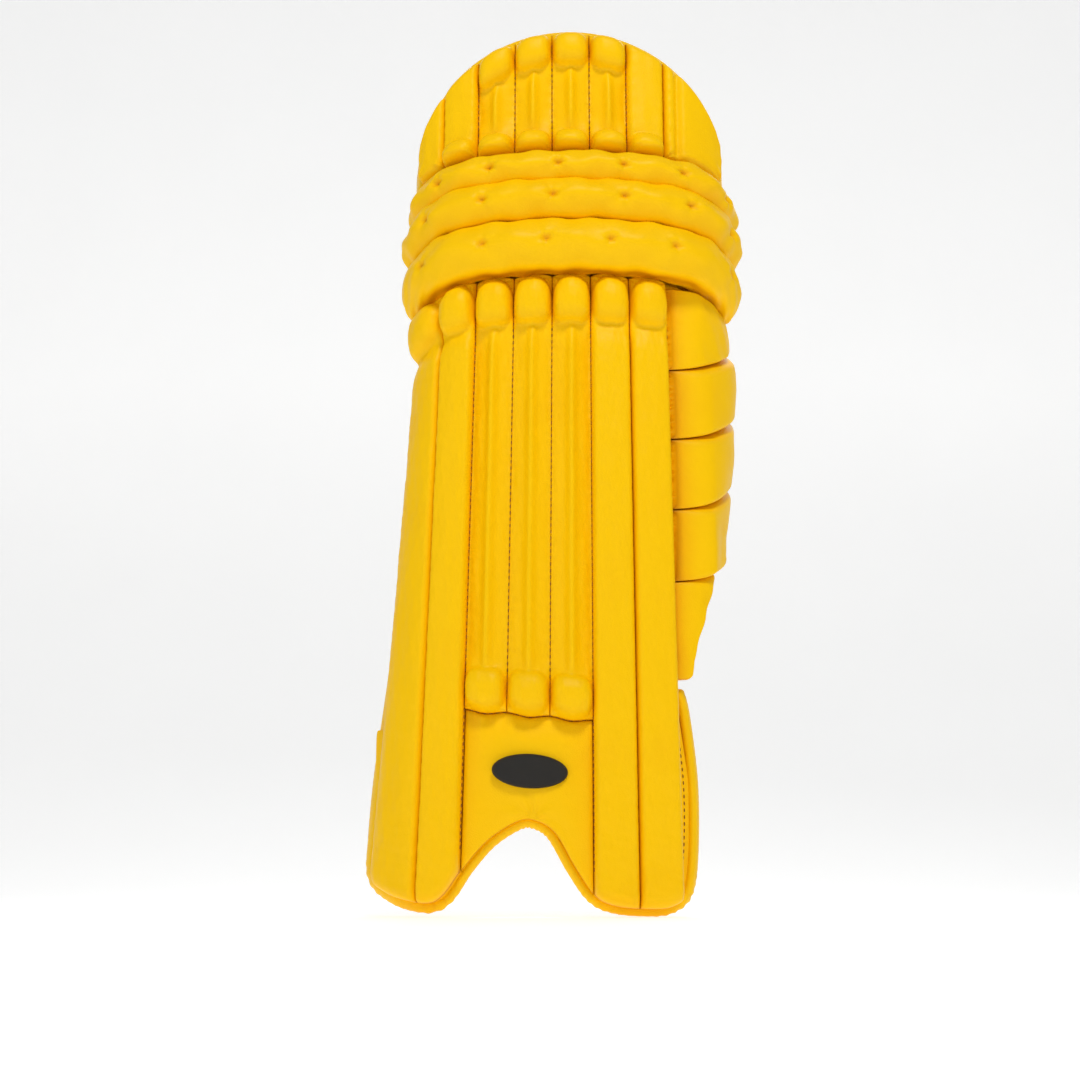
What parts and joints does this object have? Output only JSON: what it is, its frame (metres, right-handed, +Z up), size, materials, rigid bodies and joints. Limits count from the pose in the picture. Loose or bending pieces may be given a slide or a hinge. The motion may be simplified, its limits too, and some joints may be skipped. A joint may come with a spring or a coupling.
{
  "type": "cricket leg pad",
  "caption": "Padded batting leg guard with caned shin channels, knee rolls, domed top hat, outer wing, back cushions and wrap-round straps.",
  "frame": {"origin": "at the front faces of the channels, below the middle of the centre shin channel, level with the lowest edge of the foot piping", "axes": "+Z up the leg, -Y the way the batter faces, +X towards the outside of the left leg, where the wing is"},
  "size_m": [0.2953, 0.1944, 0.7161],
  "materials": {
    "cover": "smooth satin coated cloth",
    "piping": "smooth satin rolled edge",
    "strap": "satin coated webbing",
    "foam_board": "closed-cell foam board faced with coated cloth",
    "foam_core": "low density foam",
    "cane": "split cane",
    "lining": "woven cotton",
    "cushion": "stitched cotton over wadding",
    "hook_tape": "hooked nylon tape",
    "loop_tape": "looped nylon tape",
    "badge": "satin-stitched black patch"
  },
  "bodies": {
    "shin": {"ankle_cushion": "cushion", "ankle_tab": "strap", "instep_badge": "badge", "instep_panel": "cover", "shin_board": "foam_board", "shin_bolster_inner": "cushion", "shin_bolster_outer": "cushion", "shin_canes": "cane", "shin_channel_1": "cover", "shin_channel_2": "cover", "shin_channel_3": "cover", "shin_channel_4": "cover", "shin_channel_5": "cover", "shin_channel_6": "cover", "shin_channel_7": "cover", "shin_lining": "lining", "shin_piping": "piping", "strap_anchors": "strap"},
    "knee": {"knee_board": "foam_board", "knee_cup": "cushion", "knee_cushion_inner": "cushion", "knee_cushion_outer": "cushion", "knee_lining": "lining", "knee_roll_lower": "cover", "knee_roll_lower_core": "foam_core", "knee_roll_middle": "cover", "knee_roll_middle_core": "foam_core", "knee_roll_upper": "cover", "knee_roll_upper_core": "foam_core"},
    "top_hat": {"hat_board": "foam_board", "hat_canes": "cane", "hat_channel_1": "cover", "hat_channel_2": "cover", "hat_channel_3": "cover", "hat_channel_4": "cover", "hat_channel_5": "cover", "hat_channel_6": "cover", "hat_channel_7": "cover", "hat_channel_8": "cover", "hat_cushion": "cushion", "hat_lining": "lining", "hat_piping": "piping"},
    "wing": {"loop_patches": "loop_tape", "wing_block_1": "cover", "wing_block_2": "cover", "wing_block_3": "cover", "wing_board": "foam_board", "wing_lining": "lining", "wing_lower_panel": "cover", "wing_piping": "piping", "wing_upper_panel": "cover"},
    "ankle_strap": {"ankle_strap_band": "strap"},
    "ankle_strap_end": {"ankle_hook_patch": "hook_tape", "ankle_strap_tab": "strap"},
    "calf_strap": {"calf_strap_band": "strap"},
    "calf_strap_end": {"calf_hook_patch": "hook_tape", "calf_strap_tab": "strap"},
    "knee_strap": {"knee_strap_band": "strap"},
    "knee_strap_end": {"knee_hook_patch": "hook_tape", "knee_strap_tab": "strap"}
  },
  "joints": [
    {"name": "knee_lower_flex", "type": "hinge", "parent": "shin", "child": "knee", "pos_m": [0.031, 0.06, 0.476], "axis": [-1, 0, 0], "range_deg": [0, 10], "stiffness_Nm_per_rad": 3},
    {"name": "knee_upper_flex", "type": "hinge", "parent": "knee", "child": "top_hat", "pos_m": [0.031, 0.06, 0.577], "axis": [-1, 0, 0], "range_deg": [0, 10], "stiffness_Nm_per_rad": 3},
    {"name": "wing_flex", "type": "hinge", "parent": "shin", "child": "wing", "pos_m": [0.1075, 0.0295, 0.33], "axis": [0, 0, 1], "range_deg": [0, 10], "stiffness_Nm_per_rad": 1.5},
    {"name": "ankle_strap_open", "type": "hinge", "parent": "shin", "child": "ankle_strap", "pos_m": [-0.11969, 0.08447, 0.12], "axis": [0, 0, 1], "range_deg": [0, 100]},
    {"name": "ankle_strap_unbend", "type": "hinge", "parent": "ankle_strap", "child": "ankle_strap_end", "pos_m": [-0.00305, 0.171, 0.12], "axis": [0, 0, 1], "range_deg": [0, 60]},
    {"name": "calf_strap_open", "type": "hinge", "parent": "shin", "child": "calf_strap", "pos_m": [-0.08907, 0.08684, 0.35], "axis": [0, 0, 1], "range_deg": [0, 100]},
    {"name": "calf_strap_unbend", "type": "hinge", "parent": "calf_strap", "child": "calf_strap_end", "pos_m": [0.02797, 0.171, 0.35], "axis": [0, 0, 1], "range_deg": [0, 60]},
    {"name": "knee_strap_open", "type": "hinge", "parent": "shin", "child": "knee_strap", "pos_m": [-0.07789, 0.0877, 0.434], "axis": [0, 0, 1], "range_deg": [0, 100]},
    {"name": "knee_strap_unbend", "type": "hinge", "parent": "knee_strap", "child": "knee_strap_end", "pos_m": [0.03217, 0.171, 0.434], "axis": [0, 0, 1], "range_deg": [0, 60]}
  ],
  "couplings": [
    {"joint": "knee_upper_flex", "follows": "knee_lower_flex", "ratio": 1},
    {"joint": "ankle_strap_unbend", "follows": "ankle_strap_open", "ratio": 0.6},
    {"joint": "calf_strap_unbend", "follows": "calf_strap_open", "ratio": 0.6},
    {"joint": "knee_strap_unbend", "follows": "knee_strap_open", "ratio": 0.6}
  ]
}
